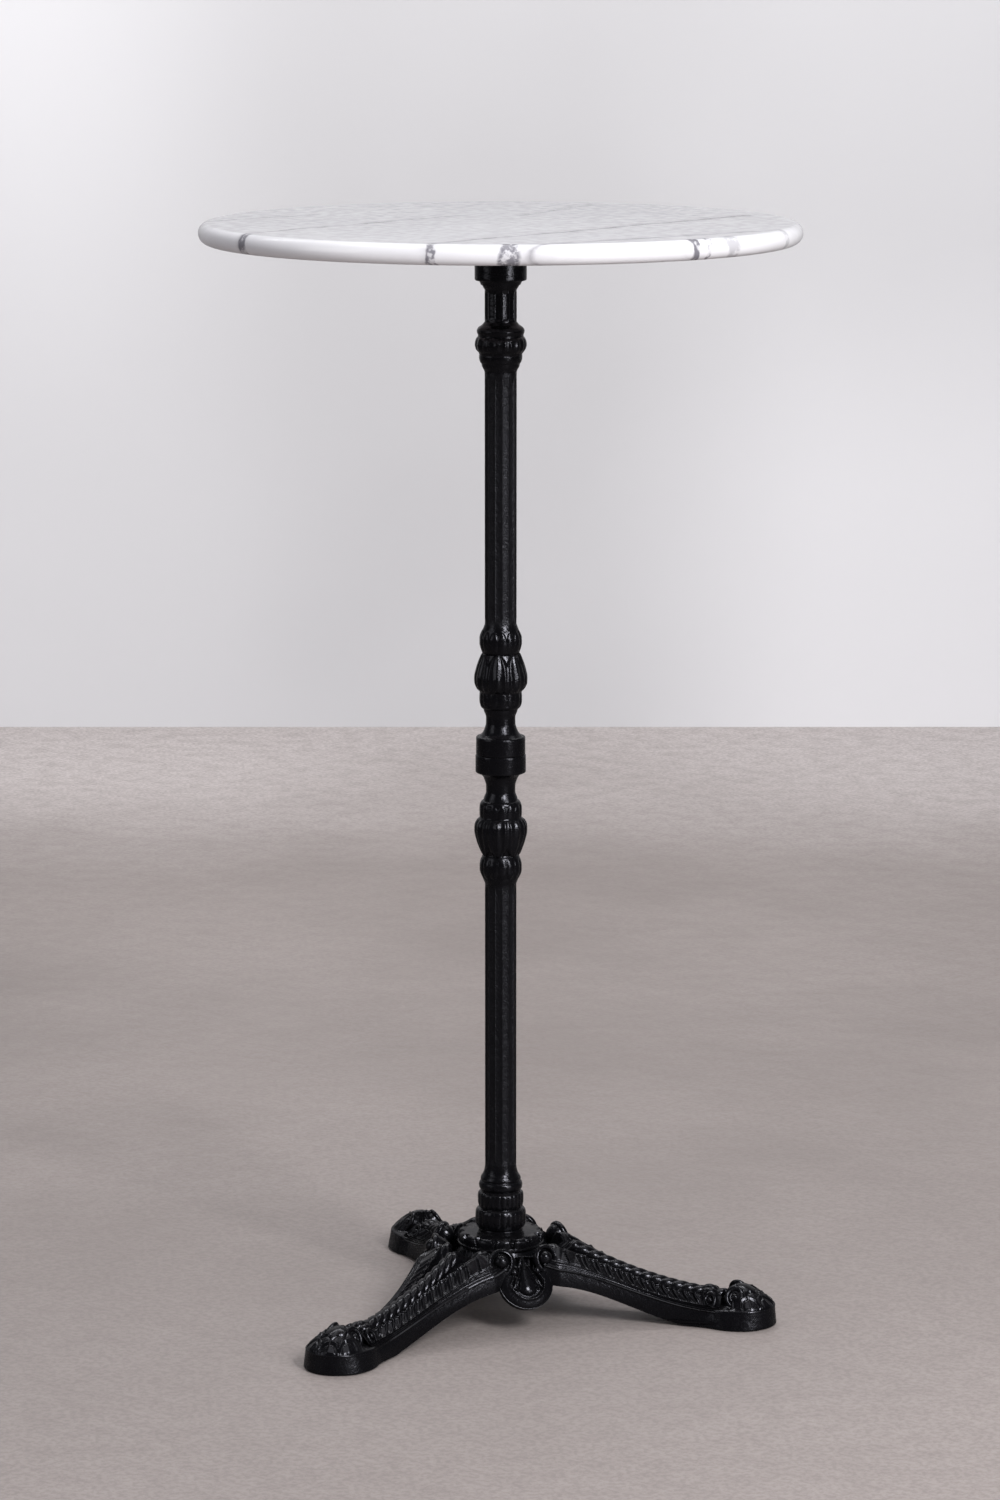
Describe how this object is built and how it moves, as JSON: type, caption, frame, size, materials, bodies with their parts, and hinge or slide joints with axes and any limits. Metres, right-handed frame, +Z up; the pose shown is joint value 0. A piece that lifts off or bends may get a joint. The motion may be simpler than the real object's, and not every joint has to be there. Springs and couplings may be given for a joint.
{
  "type": "bistro table",
  "caption": "Tall pedestal bistro table: round marble top with a full-round edge on an ornamental black cast-iron column and tripod base.",
  "frame": {"origin": "on the floor plane under the feet, on the column's axis", "axes": "+Z up along the column; one leg points along -Y, the others at 30 and 150 degrees from +X"},
  "size_m": [0.6, 0.5998, 1.12],
  "materials": {
    "marble": "polished white marble with grey veins",
    "iron": "black gloss enamel over rough sand-cast iron",
    "steel": "zinc plated",
    "brass": "plain turned",
    "pad": "matt dark rubber"
  },
  "bodies": {
    "root": {"marble_top": "marble", "top_inserts": "brass", "top_spider": "iron", "spider_screws": "steel", "spider_screw_washers": "steel", "rod_top_nut": "steel", "rod_top_washer": "steel", "upper_column": "iron", "lower_column": "iron", "upper_tie_rod": "steel", "lower_tie_rod": "steel", "rod_coupling_nut": "steel", "rosette_collar": "iron", "tripod_base": "iron", "base_washer": "steel", "base_lock_washer": "steel", "base_nut": "steel", "floor_pads": "pad"}
  },
  "joints": []
}
